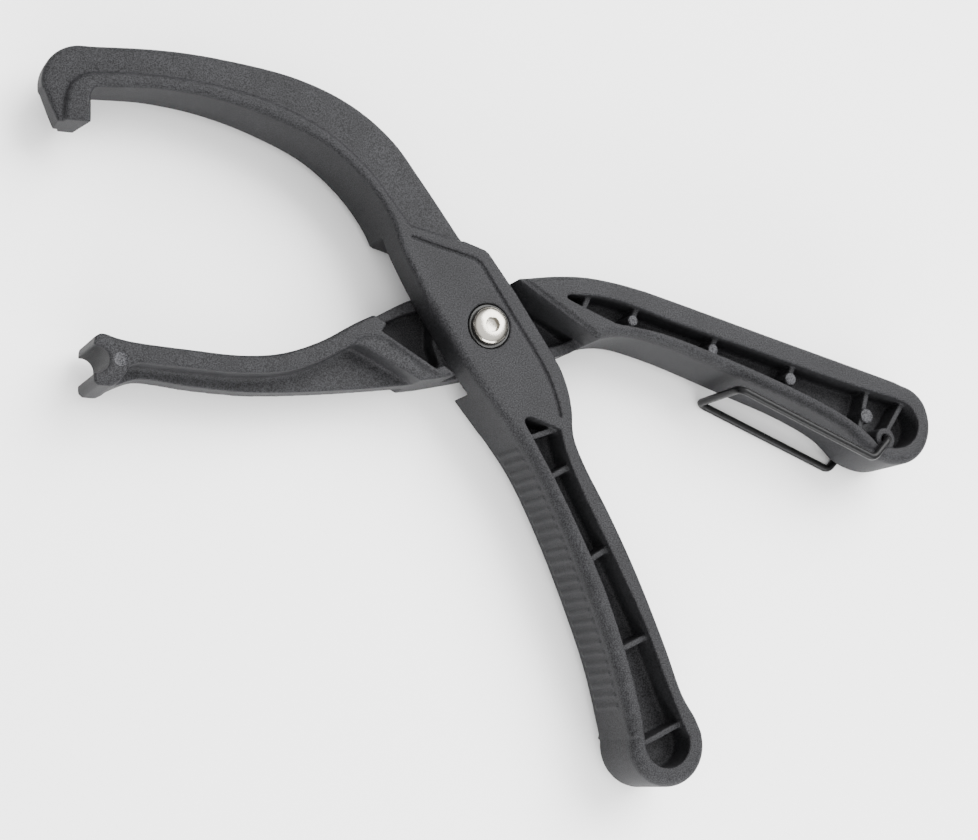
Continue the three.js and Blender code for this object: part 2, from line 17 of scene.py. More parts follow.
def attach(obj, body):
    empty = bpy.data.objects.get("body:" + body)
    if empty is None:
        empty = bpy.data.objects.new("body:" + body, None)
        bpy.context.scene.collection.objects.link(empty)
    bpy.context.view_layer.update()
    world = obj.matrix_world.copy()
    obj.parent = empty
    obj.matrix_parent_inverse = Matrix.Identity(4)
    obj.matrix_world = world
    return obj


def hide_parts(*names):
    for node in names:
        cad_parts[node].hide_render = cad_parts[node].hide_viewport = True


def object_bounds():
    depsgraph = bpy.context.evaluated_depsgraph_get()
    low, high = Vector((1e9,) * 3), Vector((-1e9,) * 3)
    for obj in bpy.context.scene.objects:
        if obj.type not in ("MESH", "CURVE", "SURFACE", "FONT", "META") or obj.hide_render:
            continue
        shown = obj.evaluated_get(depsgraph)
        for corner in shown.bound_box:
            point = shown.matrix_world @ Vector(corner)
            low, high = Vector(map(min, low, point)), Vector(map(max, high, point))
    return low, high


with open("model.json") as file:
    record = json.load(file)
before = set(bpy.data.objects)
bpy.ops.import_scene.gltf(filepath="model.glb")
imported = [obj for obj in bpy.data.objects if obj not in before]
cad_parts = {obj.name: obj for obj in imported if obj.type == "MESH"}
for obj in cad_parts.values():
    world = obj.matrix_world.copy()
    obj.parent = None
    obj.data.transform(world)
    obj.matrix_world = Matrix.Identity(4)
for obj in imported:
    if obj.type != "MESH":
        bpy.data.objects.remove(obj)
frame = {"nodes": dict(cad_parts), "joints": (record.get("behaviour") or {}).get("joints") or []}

CAD_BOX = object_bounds()
MM = 0.001
JOINT_AT = {joint["name"]: Vector(joint["pos_m"]) for joint in frame["joints"]}
PIVOT = JOINT_AT["lever_pivot"]
BAIL_PIVOT = tuple((JOINT_AT["bail_swing"] - PIVOT) / MM)[:2]

# ---------- sizes, in millimetres ----------

HALF = 14                  # half the thickness of both levers
HOOK_TIP_HALF = 6.8        # half the thickness of the hook's foot
FORK_TIP_HALF = 12.3       # half the thickness of the forked jaw
LAP_GAP = 0.3              # free space between the two halves of the lap joint
LAP_REACH = 22.7           # from the bolt's axis to each shoulder of a lap recess
LAP_BAND_REACH = 75        # half the length of a lap cutter: past both edges of a lever, short of its ends
HOOK_LAP_ANGLE = -16       # direction in degrees of the recess at the back of the hook lever
FORK_LAP_ANGLE = -33.2     # direction in degrees of the recess at the front of the fork lever
WEB_HALF = 2               # half the thickness of the web inside both handles
ARM_WEB_HALF = 4.2         # half the thickness of the web in the fork arm
LAP_POCKET_DEPTH = 8       # depth of the hollows in the fork lever's lap face
GROOVE = {"width": 1.2, "depth": 1.1}
SHOULDER_STEP = {"width": 1.5, "drop": 1.2}   # small step along the fork lever's upper shoulder

RIB_WIDTH = 2.1
RIB_DROP = 3               # from the rim down to the top of a cross rib
PAD_DROP = 2               # from the rim down to the top of a round pad
GRIP_RADIUS = 1.35
GRIP_HALF_LENGTH = 8.6
GRIP_END_EDGE = 0.6
HOOK_GRIP = {"ribs": 26, "first": 0.085, "last": 0.905, "stand_out": 0.55}
FORK_GRIP = {"ribs": 28, "first": 0.02, "last": 0.98, "stand_out": 0.3}

CLEAR = 0.3                # gap between pieces that touch
BOLT = {"radius": 4, "chamfer": 0.8, "end_inset": 0.5, "socket": 5, "socket_depth": 2.2}
BOLT_HEAD = {"radius": 7, "height": 2.8, "rim": 0.5, "flat_radius": 3.2}
WASHER = {"outer": 8, "inner": 4.3, "thickness": 1.6}
SLEEVE_OUTER = 6
NUT = {"across_flats": 13, "height": 8, "collar": 2.2}
NUT_INSERT = {"outer": 5.3, "inner": 4.25, "height": 2.2, "inset": 0.6}

WIRE_RADIUS = 1.5
BAIL_KNEE = (161.2, -43.4)
BAIL_END = (102.7, -18.7)
BAIL_BEND = 3.2
BAIL_BOSS = {"outer": 4.4, "hole": 1.8, "drop": 1.2, "wire_depth": 9}

OUTLINE_STEP = 1.2         # spacing of the points round an outline
EDGE_STEPS = 6             # facets across a rounded edge
EDGE_ROOM_USED = 0.75      # how much of the free room a rounded edge may take
FACE_GRID = 5              # spacing of the points inside a flat face
SKIN_VOXEL = 0.42
SKIN_SMOOTHING = 5


# ---------- curves ----------

def spread_evenly(points, spacing):
    """The same line with its points an even distance apart."""
    points = np.asarray(points, float)
    lengths = np.hypot(*np.diff(points, axis=0).T[:2])
    along = np.concatenate([[0], np.cumsum(lengths)])
    count = max(1, round(along[-1] / spacing))
    places = np.linspace(0, along[-1], count + 1)
    return np.column_stack([np.interp(places, along, axis) for axis in points.T])


def smooth(points, spacing=OUTLINE_STEP):
    """A smooth line through the given points: a centripetal Catmull-Rom curve."""
    points = np.asarray(points, float)
    padded = np.vstack([2 * points[0] - points[1], points, 2 * points[-1] - points[-2]])
    t = np.linspace(0, 1, 25)[:-1, None]
    pieces = []
    for p0, p1, p2, p3 in zip(padded, padded[1:], padded[2:], padded[3:]):
        before, span, after = (math.sqrt(math.dist(*pair)) for pair in ((p0, p1), (p1, p2), (p2, p3)))
        leave = ((p1 - p0) / before - (p2 - p0) / (before + span) + (p2 - p1) / span) * span
        arrive = ((p2 - p1) / span - (p3 - p1) / (span + after) + (p3 - p2) / after) * span
        pieces.append(p1 + leave * t + (3 * (p2 - p1) - 2 * leave - arrive) * t ** 2
                      + (2 * (p1 - p2) + leave + arrive) * t ** 3)
    return spread_evenly(np.vstack([*pieces, points[-1:]]), spacing)


def straight(points, spacing=OUTLINE_STEP):
    """Straight legs through the given points, which all stay as corners."""
    legs = [spread_evenly(pair, spacing)[:-1] for pair in zip(points, points[1:])]
    return np.vstack([*legs, [points[-1]]]) if legs else np.asarray(points, float)


def arc(centre, radius, start, end, spacing=OUTLINE_STEP):
    """An arc between two directions in degrees."""
    count = max(2, round(radius * abs(math.radians(end - start)) / spacing))
    angles = np.radians(np.linspace(start, end, count + 1))
    return np.column_stack([centre[0] + radius * np.cos(angles), centre[1] + radius * np.sin(angles)])


def closed_outline(runs):
    """Joins runs of (edge radius, points) into one closed outline with one edge radius for each point."""
    points = []
    edges = []
    for edge, run in runs:
        for point in run:
            if not points or math.dist(points[-1], point) > 0.25:
                points.append(point)
                edges.append(edge)
    if math.dist(points[0], points[-1]) < 0.25:
        points.pop()
        edges.pop()
    points = np.array(points)
    blend = np.hanning(7) / np.hanning(7).sum()
    edges = np.convolve(np.concatenate([edges[-3:], edges, edges[:3]]), blend, mode="valid")
    return points, np.minimum(edges, EDGE_ROOM_USED * room_for_edge(points))


def room_for_edge(points):
    """For each point, the radius of the largest circle that touches the outline there and stays inside it."""
    inward = inward_directions(points)
    inward = inward / np.hypot(*inward.T)[:, None]
    reach = points[None] - points[:, None]
    depth = (reach * inward[:, None]).sum(axis=2)
    radius = (reach ** 2).sum(axis=2) / (2 * np.maximum(depth, 1e-6))
    return np.where(depth > 1e-6, radius, np.inf).min(axis=1)


def inward_directions(points):
    """For each point of a counter-clockwise outline, the way an inset moves it, longer at a corner."""
    longest = 1.5
    step = np.roll(points, -1, axis=0) - points
    normal = np.column_stack([-step[:, 1], step[:, 0]]) / np.hypot(*step.T)[:, None]
    before = np.roll(normal, 1, axis=0)
    miter = (before + normal) / (1 + (before * normal).sum(axis=1))[:, None]
    length = np.hypot(*miter.T)[:, None]
    return miter * np.minimum(1, longest / length)


# ---------- solids ----------

def new_piece(name, vertices, faces):
    mesh = bpy.data.meshes.new(name)
    mesh.from_pydata([tuple(map(float, v)) for v in vertices], [], faces)
    piece = bpy.data.objects.new(name, mesh)
    bpy.context.scene.collection.objects.link(piece)
    return piece


def inside(points, outline):
    """Which points lie inside the outline."""
    x, y = points[:, :1], points[:, 1:]
    ax, ay = outline.T
    bx, by = np.roll(outline, -1, axis=0).T
    crosses = (ay > y) != (by > y)
    with np.errstate(divide="ignore", invalid="ignore"):
        at = ax + (y - ay) * (bx - ax) / (by - ay)
    return (crosses & (x < at)).sum(axis=1) % 2 == 1


def filled(outline):
    """Triangles over an outline, with a grid of points inside: (inner points, triangles)."""
    low, high = outline.min(axis=0), outline.max(axis=0)
    axes = [np.arange(a + FACE_GRID / 2, b, FACE_GRID) for a, b in zip(low, high)]
    grid = np.stack(np.meshgrid(*axes), axis=-1).reshape(-1, 2)
    grid = grid[inside(grid, outline)]
    if len(grid):
        nearest = np.hypot(*(grid[:, None] - outline[None]).T).min(axis=0)
        grid = grid[nearest > OUTLINE_STEP]
    count = len(outline)
    corners = [Vector(map(float, p)) for p in (*outline, *grid)]
    rim = [(i, (i + 1) % count) for i in range(count)]
    points, _, faces, *_ = delaunay_2d_cdt(corners, rim, [list(range(count))], 1, 1e-6)
    if len(points) != len(corners):
        raise ValueError(f"an outline crosses itself near {tuple(points[len(corners)])}")
    return grid, [tuple(face) for face in faces]


def level(height):
    return lambda x: np.full_like(x, height)


def slab(name, runs, bottom, top, rounded=(True, True)):
    """A block over an outline, with edges rounded to each run's radius.

    bottom and top are heights, or functions that give a height for each x.
    """
    points, edges = closed_outline(runs)
    inward = inward_directions(points)
    heights = [h if callable(h) else level(h) for h in (bottom, top)]
    rings = []
    for side, height, is_round in ((-1, heights[0], rounded[0]), (1, heights[1], rounded[1])):
        turns = np.linspace(0, math.pi / 2, EDGE_STEPS + 1) if is_round else [0.0]
        for turn in turns[::side]:
            radius = edges if is_round else 0 * edges
            place = points + inward * (radius * (1 - math.cos(turn)))[:, None]
            z = height(points[:, 0]) - side * radius * (1 - math.sin(turn))
            rings.append(np.column_stack([place, z]))
    count = len(points)
    vertices = list(np.vstack(rings))
    faces = []
    for ring in range(len(rings) - 1):
        for i in range(count):
            j = (i + 1) % count
            faces.append((ring * count + i, ring * count + j, (ring + 1) * count + j, (ring + 1) * count + i))
    for ring, height, flip in ((0, heights[0], True), (len(rings) - 1, heights[1], False)):
        inner, triangles = filled(rings[ring][:, :2])
        start = len(vertices)
        vertices.extend(np.column_stack([inner, height(inner[:, 0])]))
        for triangle in triangles:
            corners = [ring * count + k if k < count else start + k - count for k in triangle]
            faces.append(tuple(reversed(corners)) if flip else tuple(corners))
    return new_piece(name, vertices, faces)


def ribbon(line, width):
    """The outline of a strip of one width along a line."""
    line = np.asarray(line, float)
    ahead = np.gradient(line, axis=0)
    side = np.column_stack([-ahead[:, 1], ahead[:, 0]]) / np.hypot(*ahead.T)[:, None] * width / 2
    return np.vstack([line - side, (line + side)[::-1]])


def disc(centre, radius, spacing=0.6):
    return arc(centre, radius, 0, 360, spacing)[:-1]


def hexagon(across_flats):
    """The six corners of a hexagon round the bolt's axis."""
    corner = across_flats / math.sqrt(3)
    sixth = corner * math.pi / 3
    return arc((0, 0), corner, 0, 360, sixth)[:-1]


def post(name, outline, bottom, top, edge=0.0):
    """A straight block, with rounded ends if it has an edge radius."""
    return slab(name, [(edge, outline)], bottom, top, (edge > 0, edge > 0))


def lathe(name, profile, sides=96):
    """Turns a closed (radius, height) profile round the bolt's axis."""
    bm = bmesh.new()
    angles = [2 * math.pi * i / sides for i in range(sides)]
    rings = []
    for radius, height in profile:
        if radius < 1e-9:
            rings.append([bm.verts.new((0, 0, height))] * sides)
        else:
            rings.append([bm.verts.new((radius * math.cos(a), radius * math.sin(a), height)) for a in angles])
    for low, high in zip(rings, rings[1:] + rings[:1]):
        for i in range(sides):
            j = (i + 1) % sides
            corners = list(dict.fromkeys((low[i], low[j], high[j], high[i])))
            if len(corners) > 2:
                bm.faces.new(corners)
    bmesh.ops.recalc_face_normals(bm, faces=bm.faces)
    mesh = bpy.data.meshes.new(name)
    bm.to_mesh(mesh)
    bm.free()
    piece = bpy.data.objects.new(name, mesh)
    bpy.context.scene.collection.objects.link(piece)
    return piece


def settle(piece):
    """Makes the modifiers' result the piece's own mesh."""
    graph = bpy.context.evaluated_depsgraph_get()
    mesh = bpy.data.meshes.new_from_object(piece.evaluated_get(graph))
    old = piece.data
    piece.modifiers.clear()
    piece.data = mesh
    bpy.data.meshes.remove(old)


def combine(piece, others, operation):
    for other in others:
        change = piece.modifiers.new(operation.lower(), "BOOLEAN")
        change.operation = operation
        change.solver = "MANIFOLD"
        change.object = other
    settle(piece)
    for other in others:
        mesh = other.data
        bpy.data.objects.remove(other)
        bpy.data.meshes.remove(mesh)
    return piece


def join(piece, *others):
    return combine(piece, others, "UNION")


def cut(piece, *others):
    return combine(piece, others, "DIFFERENCE")


def both_faces(name, runs, depth_from, depth_to, rounded):
    """The same block at the front and, mirrored, at the back."""
    return [
        slab(name, runs, depth_from, depth_to, rounded),
        slab(name, runs, -depth_to, -depth_from, rounded[::-1]),
    ]


def lap_band(angle, low, high, bottom, top):
    """A long strip beside or across the bolt's axis, from low to high across it."""
    reach = LAP_BAND_REACH
    turn = math.radians(angle)
    corners = []
    for along, across in ((-reach, low), (reach, low), (reach, high), (-reach, high)):
        corners.append((along * math.cos(turn) - across * math.sin(turn),
                        along * math.sin(turn) + across * math.cos(turn)))
    return post("lap", corners, bottom, top)


def grip_ribs(line, ribs, first, last, stand_out):
    """Round ribs side by side along an edge of the outline, each lying across the handle's thickness."""
    line = spread_evenly(line, 0.25)
    ahead = np.gradient(line, axis=0)
    inward = np.column_stack([-ahead[:, 1], ahead[:, 0]]) / np.hypot(*ahead.T)[:, None]
    pieces = []
    for place in np.linspace(first, last, ribs) * (len(line) - 1):
        i = int(place)
        centre = line[i] + inward[i] * (GRIP_RADIUS - stand_out)
        pieces.append(post("grip_rib", disc(centre, GRIP_RADIUS, 0.5),
                           -GRIP_HALF_LENGTH, GRIP_HALF_LENGTH, GRIP_END_EDGE))
    return pieces


def moulded_skin(piece):
    """Melts the parts of a moulding into one skin with softened edges and corners."""
    remesh = piece.modifiers.new("skin", "REMESH")
    remesh.mode = "VOXEL"
    remesh.voxel_size = SKIN_VOXEL
    soften = piece.modifiers.new("soften", "SMOOTH")
    soften.factor = 0.5
    soften.iterations = SKIN_SMOOTHING
    settle(piece)
    return piece


# ---------- hook lever ----------

FOOT_BOTTOM = 63.8
FOOT_INNER = -141.9
FOOT_TAPER = {"inward": 3, "height": 9, "top": 10.2, "clear": 8}
HOOK_THINNING = {"from": -40, "length": 118, "power": 1.35}
ARM_OUTER_DIP = {"from": 110, "length": 38, "below_band": 1.1, "at_foot": 0.9}

ARM_INNER = smooth([
    (-138.3, 76.4), (-119, 77.4), (-99, 75.5), (-79.2, 70.4), (-59.4, 61.9),
    (-44.6, 49.3), (-36.3, 37), (-32.9, 27.3), (-24.2, 9.8),
])
PLATE_LEFT = smooth([(-24.2, 9.8), (-15, -5), (-6.8, -18.3), (-1.2, -25.6), (6.4, -35.5)])
GRIP_SIDE = smooth([(6.4, -35.5), (17, -51.2), (27.4, -73), (37.8, -100.1), (45.1, -123), (50.1, -147)])
BULGE_SIDE = smooth([
    (77.6, -141.2), (72.5, -132.7), (66.5, -115.6), (56.4, -89.6), (46.3, -67.6),
    (36.2, -48.1), (33.1, -39.8), (32.4, -34),
])
PLATE_RIGHT = smooth([(32.4, -34), (31.6, -25), (28.8, -15.4), (24, -6.9)])
PLATE_CORNER = straight([(24, -6.9), (11.3, 13.1), (1.3, 27.1), (-0.3, 28.3), (-8.5, 31)])
ARM_OUTER = smooth([
    (-8.5, 31), (-24, 53.1), (-34.2, 66.3), (-49.4, 78), (-69.3, 86.1), (-98.8, 90.9),
    (-118.4, 92), (-143, 91.4),
])
BAND_STEP = smooth([
    (-29.5, 35.2), (-35, 42.8), (-45, 55), (-59.7, 67.1), (-79.4, 75.9), (-96, 79.9),
    (-115, 81.8), (-133.4, 82),
])
BAND_CORNER = smooth([(-133.4, 82), (-143.4, 80.8), (-148.4, 77), (-150.3, 70.5), (-150.6, FOOT_BOTTOM)])
ARM_BURIED_SIDE = straight([
    (-145, FOOT_BOTTOM), (-145, 74), (-139, 79.3), (-119, 80), (-97, 77.8), (-77, 72.6), (-57, 63.6),
    (-42, 50.5), (-33, 37), (-28, 26), (-12, 22), (-6, 24),
], 4)
GROOVE_LINE = np.vstack([
    smooth([(-29, 31), (-20, 28.5), (-10, 26), (-4.6, 24.5), (-2.2, 22.8)]),
    smooth([(-1.6, 21.9), (5, 11.5), (12.5, -0.2), (20, -12), (23.4, -19), (25.8, -26), (27.2, -32.2)]),
])
HOOK_POCKET = [
    (1.2, smooth([(15.2, -32.3), (12.7, -33.4), (16, -40.4), (25, -57), (35, -78), (42, -94.5), (50, -120),
                  (54.2, -139), (55.3, -148)])),
    (1.2, arc((64.5, -149.2), 9.2, 172, 372)),
    (1.2, smooth([(71, -142.2), (65, -127), (58, -108), (45, -80), (33, -55.5), (28.4, -43.5),
                  (26.8, -36.4)])),
    (1.2, straight([(26.8, -36.4), (15.2, -32.3)])),
]
HOOK_CROSS_RIBS = [
    [(13, -40.6), (29, -35)], [(21, -55), (33, -48.6)], [(33, -86.5), (49, -77)],
    [(45, -117.5), (61, -110.5)], [(52, -151.3), (75, -141.3)],
]


def hook_half(x):
    """The hook arm thins from the bolt to the foot."""
    along = np.clip((HOOK_THINNING["from"] - x) / HOOK_THINNING["length"], 0, 1)
    return HALF - (HALF - HOOK_TIP_HALF) * along ** HOOK_THINNING["power"]


def arm_outer_half(x):
    """The outer part of the arm lies lower than the band, and lowest at the foot."""
    t = np.clip((-x - ARM_OUTER_DIP["from"]) / ARM_OUTER_DIP["length"], 0, 1)
    ease = t * t * (3 - 2 * t)
    return hook_half(x) - ARM_OUTER_DIP["below_band"] - ARM_OUTER_DIP["at_foot"] * ease


def foot_taper():
    """A wedge that takes the corner off the foot's inner side, so that the foot narrows towards the back."""
    taper = FOOT_TAPER["inward"]
    clear = FOOT_TAPER["clear"]
    corners = []
    for up, z in ((-1, clear), (-1, -clear), (FOOT_TAPER["top"], -clear)):
        lean = up / FOOT_TAPER["height"] + (z - HOOK_TIP_HALF) / (2 * HOOK_TIP_HALF)
        x = FOOT_INNER + taper * lean
        corners += [(x, FOOT_BOTTOM + up, z), (FOOT_INNER + clear, FOOT_BOTTOM + up, z)]
    return new_piece("taper", corners, [(0, 4, 2), (1, 3, 5), (0, 2, 3, 1), (2, 4, 5, 3), (4, 0, 1, 5)])


def hook_lever():
    arm = slab("arm", [
        (0.8, ARM_BURIED_SIDE),
        (2.2, ARM_OUTER),
        (1.8, arc((-144.3, 77.8), 13.6, 84, 188)),
        (1.6, straight([(-157.2, 75.2), (-154.8, 69)])),
        (0.8, [(-152.5, FOOT_BOTTOM)]),
    ], lambda x: -arm_outer_half(x), arm_outer_half)
    lever = slab("nylon_hook_lever", [
        (0.8, [(FOOT_INNER, FOOT_BOTTOM)]),
        (1.4, arc((FOOT_INNER + 3.6, 72.8), 3.6, 180, 90)),
        (1.8, ARM_INNER),
        (2.6, PLATE_LEFT),
        (3.6, GRIP_SIDE),
        (3.4, arc((65.2, -150), 15.1, 170, 375)),
        (2.4, BULGE_SIDE),
        (1.1, PLATE_RIGHT),
        (1.1, PLATE_CORNER),
        (0.8, [(-10, 30.6)]),
        (1.2, BAND_STEP),
        (1.8, BAND_CORNER),
    ], lambda x: -hook_half(x), hook_half)
    join(lever, arm)
    cut(lever, *both_faces("pocket", HOOK_POCKET, WEB_HALF, HALF + 1, (True, False)))
    rib_top = HALF - RIB_DROP
    ribs = [post("rib", ribbon(line, RIB_WIDTH), -rib_top, rib_top) for line in HOOK_CROSS_RIBS]
    join(lever, *ribs, *grip_ribs(GRIP_SIDE, **HOOK_GRIP))
    cut(
        lever,
        foot_taper(),
        lap_band(HOOK_LAP_ANGLE, -LAP_REACH, LAP_REACH, -HALF - 1, LAP_GAP / 2),
        post("groove", ribbon(GROOVE_LINE, GROOVE["width"]), HALF - GROOVE["depth"], HALF + 1),
        post("bolt_hole", disc((0, 0), SLEEVE_OUTER + CLEAR), -1, HALF + 1),
        post("washer_seat", disc((0, 0), WASHER["outer"] + CLEAR),
             HALF - WASHER["thickness"] - CLEAR, HALF + 1),
    )
    return moulded_skin(lever)


# ---------- fork lever ----------

JAW_END = -142.3
FORK_THINNING = {"from": -50, "length": 93}
FORK_ARM_LOWER = smooth([
    (-136.6, -27.6), (-131.5, -25.2), (-125.9, -23.4), (-105.8, -25.2), (-86.8, -26.1), (-63, -24.8),
    (-33, -21.6), (-19.5, -19.7),
])
FORK_PLATE_LOWER = smooth([(-19.5, -19.7), (-1.1, -15.8), (25, -9.2), (38.8, -5.2)])
FORK_HANDLE_LOWER = smooth([
    (38.8, -5.2), (47, -1.5), (58.1, -0.4), (75, -3.9), (110.7, -15.9), (136.7, -25.2), (152.4, -33.1),
    (161.7, -41.2), (173, -44.9), (181.8, -43.7), (187.5, -39.6), (190.9, -33.5), (191.6, -26.5),
    (189.4, -19.6), (184.6, -15), (178, -12.6),
])
FORK_GRIP_SIDE = smooth([(178, -12.6), (146, -4), (113, 4.8), (80.8, 13.5), (66, 17.4)])
FORK_NECK_UPPER = smooth([(66, 17.4), (53, 19.9), (40.2, 21.2), (28, 20.7), (14.5, 18.9)])
FORK_PLATE_UPPER = smooth([(14.5, 18.9), (0, 17.6), (-12, 14.8), (-25.2, 10.9), (-38, 4.4)])
FORK_ARM_UPPER = smooth([
    (-38, 4.4), (-50.2, -1.3), (-64.1, -8.9), (-77.7, -13.6), (-91.5, -15), (-110.1, -13.9), (-129.8, -12.1),
    (-135.4, -10.9), (-138, -10), (-139.8, -9.8),
])
ARM_RECESS = [
    (1.4, straight([(-25.5, -21.3), (-47.7, -9.6)])),
    (1.4, smooth([(-47.7, -9.6), (-49.4, -8.9), (-52, -9.2)])),
    (2.4, smooth([(-52, -9.2), (-63, -15.2), (-75, -19.6), (-91, -21.3), (-110, -20.4), (-126.5, -19.3)])),
    (2.0, smooth([(-126.5, -19.3), (-130, -20.3), (-131.7, -23), (-134.5, -26.6)])),
    (0.5, straight([(-134.5, -26.6), (-138, -32), (-21, -32), (-25.5, -21.3)])),
]
LEDGE = [
    (0.6, straight([(-15.5, -21.8), (-39.3, -6.9)])),
    (0.6, smooth([(-39.3, -6.9), (-44.1, -5.9), (-49.7, -7.1), (-53, -10.5)])),
    (0.3, straight([(-53, -10.5), (-27.5, -24), (-15.5, -21.8)])),
]
LEDGE_DROP = 1.1
FORK_POCKET = [
    (1.0, smooth([(34, 11.4), (31.6, 12.9), (34, 14.1)])),
    (1.2, smooth([(34, 14.1), (50, 13.4), (80, 5.2), (110, -2.6), (150, -13.3), (175, -19)])),
    (1.2, smooth([(175, -19), (181.5, -21.7), (184.9, -28), (183.6, -33.7), (178.9, -37.7), (172.2, -38.9),
                  (166, -38.4)])),
    (1.2, smooth([(166, -38.4), (160.4, -33.3), (149.5, -26.4), (125.1, -16), (94, -5.2), (70, 1.6),
                  (52, 4)])),
    (1.2, straight([(52, 4), (34, 11.4)])),
]
FORK_CROSS_RIBS = [
    {"line": [(37.5, 4.5), (43, 15.5)]},
    {"line": [(57.6, 1), (64, 14)], "pad": (60, 6), "pad_radius": 2.1},
    {"line": [(91.6, -7), (98, 5)], "pad": (94, -3.2), "pad_radius": 2.2},
    {"line": [(125.2, -19), (131.2, -5)], "pad": (128, -13), "pad_radius": 2.5},
    {"line": [(158.2, -34), (164.6, -14)], "pad": (162.2, -26.2), "pad_radius": 2.9},
    {"line": [BAIL_PIVOT, (180.5, -20)]},
]
JAW_MARK = {"centre": (-133.3, -18.4), "radius": 2.4, "depth": 0.5}
LAP_POCKETS = [
    [(-41.5, -4), (-37.5, 0.6), (-27.5, 5.6), (-18, 9.2), (-16.2, 2), (-16.4, -5), (-14, -12.2), (-19, -15.5),
     (-21, -16.6)],
    [(17.5, 15.6), (11.5, 14.4), (15.4, 7), (16.8, 0), (15.6, -7.4), (24.5, -5.2), (36.5, -1.6), (41, 0.4)],
]


def counter_clockwise(runs):
    """The same runs, turned round if they go clockwise."""
    points = np.vstack([run for _, run in runs])
    x, y = points.T
    area = (x * np.roll(y, -1) - y * np.roll(x, -1)).sum()
    return runs if area > 0 else [(edge, np.asarray(run)[::-1]) for edge, run in reversed(runs)]


def fork_half(x):
    """The fork arm thins a little towards the jaw."""
    along = np.clip((FORK_THINNING["from"] - x) / FORK_THINNING["length"], 0, 1)
    return HALF - (HALF - FORK_TIP_HALF) * along


def fork_lever():
    lever = slab("nylon_fork_lever", [
        (0.7, arc((-141.7, -18.7), 4.7, 97.5, -97.5, 0.8)),
        (0.7, straight([(JAW_END, -24), (JAW_END, -26.1), (-140.9, -27.4), (-136.6, -27.6)])),
        (1.2, FORK_ARM_LOWER),
        (1.2, FORK_PLATE_LOWER),
        (3.5, FORK_HANDLE_LOWER),
        (2.6, FORK_GRIP_SIDE),
        (2.6, FORK_NECK_UPPER),
        (1.2, FORK_PLATE_UPPER),
        (1.4, FORK_ARM_UPPER),
        (0.7, straight([(-139.8, -9.8), (-141.9, -11), (JAW_END, -14)])),
    ], lambda x: -fork_half(x), fork_half)
    cut(
        lever,
        *both_faces("pocket", counter_clockwise(FORK_POCKET), WEB_HALF, HALF + 1, (True, False)),
        *both_faces("recess", counter_clockwise(ARM_RECESS), ARM_WEB_HALF, HALF + 1, (True, False)),
        *both_faces("ledge", counter_clockwise(LEDGE), HALF - LEDGE_DROP, HALF + 1, (True, False)),
    )
    rib_top = HALF - RIB_DROP
    pad_top = HALF - PAD_DROP
    boss_top = HALF - BAIL_BOSS["drop"]
    parts = [post("boss", disc(BAIL_PIVOT, BAIL_BOSS["outer"]), -boss_top, boss_top, 0.4)]
    for rib in FORK_CROSS_RIBS:
        parts.append(post("rib", ribbon(rib["line"], RIB_WIDTH), -rib_top, rib_top))
        if "pad" in rib:
            parts.append(post("pad", disc(rib["pad"], rib["pad_radius"]), -pad_top, pad_top, 0.3))
    join(lever, *parts, *grip_ribs(FORK_GRIP_SIDE, **FORK_GRIP))
    lap_face = -LAP_GAP / 2
    nut_seat = -HALF + NUT["height"] + CLEAR
    cut(
        lever,
        post("bail_hole", disc(BAIL_PIVOT, BAIL_BOSS["hole"], 0.4), -HALF - 1, HALF + 1),
        lap_band(FORK_LAP_ANGLE, -LAP_REACH, LAP_REACH, lap_face, HALF + 1),
        lap_band(FORK_LAP_ANGLE, LAP_REACH - 1, LAP_REACH + SHOULDER_STEP["width"],
                 HALF - SHOULDER_STEP["drop"], HALF + 1),
        *both_faces("jaw_mark", [(0, disc(JAW_MARK["centre"], JAW_MARK["radius"]))],
                    fork_half(JAW_MARK["centre"][0]) - JAW_MARK["depth"], HALF + 1, (False, False)),
        *[slab("lap_pocket", counter_clockwise([(0.8, straight([*corners, corners[0]]))]),
               lap_face - LAP_POCKET_DEPTH, HALF, (True, False)) for corners in LAP_POCKETS],
        post("bolt_hole", disc((0, 0), SLEEVE_OUTER + CLEAR), nut_seat - 1, 1),
        post("nut_pocket", hexagon(NUT["across_flats"] + 2 * CLEAR), -HALF - 1, nut_seat),
    )
    return moulded_skin(lever)


# ---------- bolt, washer and nut ----------

def bolt():
    seat = HALF + CLEAR
    top = seat + BOLT_HEAD["height"]
    bottom = -HALF + BOLT["end_inset"]
    radius = BOLT["radius"]
    flat = BOLT_HEAD["flat_radius"]
    crown = []
    for turn in np.linspace(0, math.pi / 2, 24):
        crown.append((flat + (BOLT_HEAD["radius"] - flat) * math.cos(turn),
                      seat + BOLT_HEAD["rim"] + (BOLT_HEAD["height"] - BOLT_HEAD["rim"]) * math.sin(turn)))
    piece = lathe("steel_bolt", [
        (0, bottom), (radius - BOLT["chamfer"], bottom), (radius, bottom + BOLT["chamfer"]), (radius, seat),
        (BOLT_HEAD["radius"] - 0.15, seat), (BOLT_HEAD["radius"], seat + 0.15), *crown, (0, top),
    ])
    socket_floor = top - BOLT["socket_depth"]
    across = BOLT["socket"]
    mouth = lathe("socket_mouth", [(0, top + 1), (across * 0.6 + 1, top + 1), (across * 0.45, top - 0.35),
                                   (0, top - 0.35)])
    drill = lathe("socket_drill", [(0, top), (2.2, top), (2.2, socket_floor), (0, socket_floor - 1.1)])
    return cut(piece, post("socket", hexagon(across), socket_floor, top + 1), mouth, drill)


def washer():
    top = HALF
    bottom = top - WASHER["thickness"]
    inner, outer = WASHER["inner"], WASHER["outer"]
    edge = 0.25
    return lathe("black_washer", [
        (inner, bottom), (outer - edge, bottom), (outer, bottom + edge),
        (outer, top - edge), (outer - edge, top), (inner, top),
    ])


